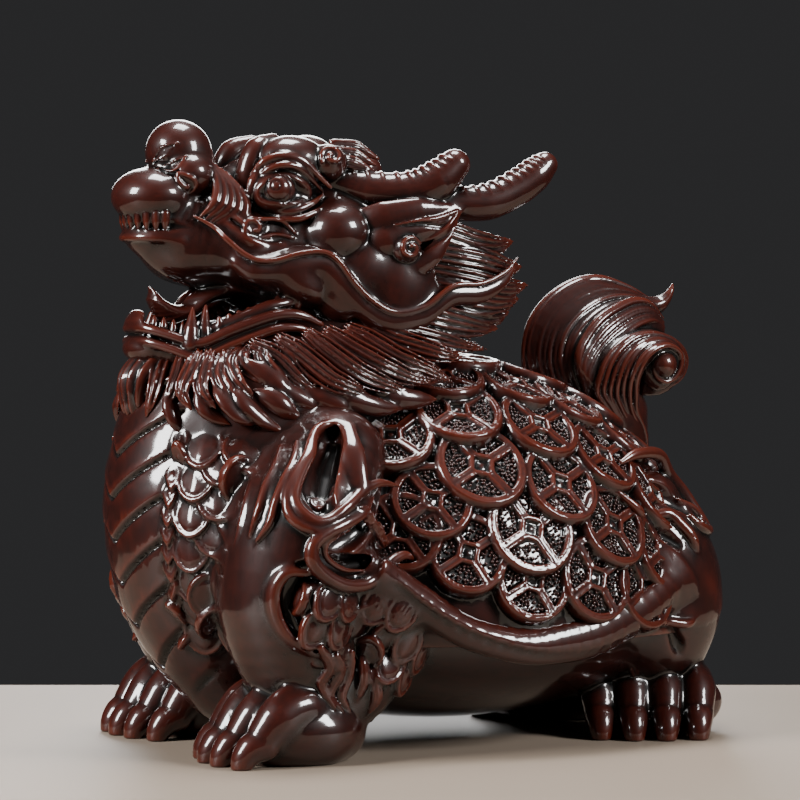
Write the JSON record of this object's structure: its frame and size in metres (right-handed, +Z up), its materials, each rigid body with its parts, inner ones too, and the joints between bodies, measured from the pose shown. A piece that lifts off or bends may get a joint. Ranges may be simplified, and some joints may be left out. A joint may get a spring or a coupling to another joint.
{
  "type": "dragon turtle figurine",
  "caption": "Carved dark hardwood dragon turtle standing on clawed feet, head raised and mouth open, with a shell of overlapping old coins and a curled tail.",
  "frame": {"origin": "on the ground under the middle of the figure's bounding box", "axes": "+Z up, the head looks along -Y, +X is the animal's left side; length runs along Y"},
  "size_m": [0.1824, 0.2677, 0.2535],
  "materials": {
    "dark_wood": "glossy lacquered dark red-brown hardwood"
  },
  "bodies": {
    "root": {"dragon_turtle": "dark_wood"}
  },
  "joints": []
}
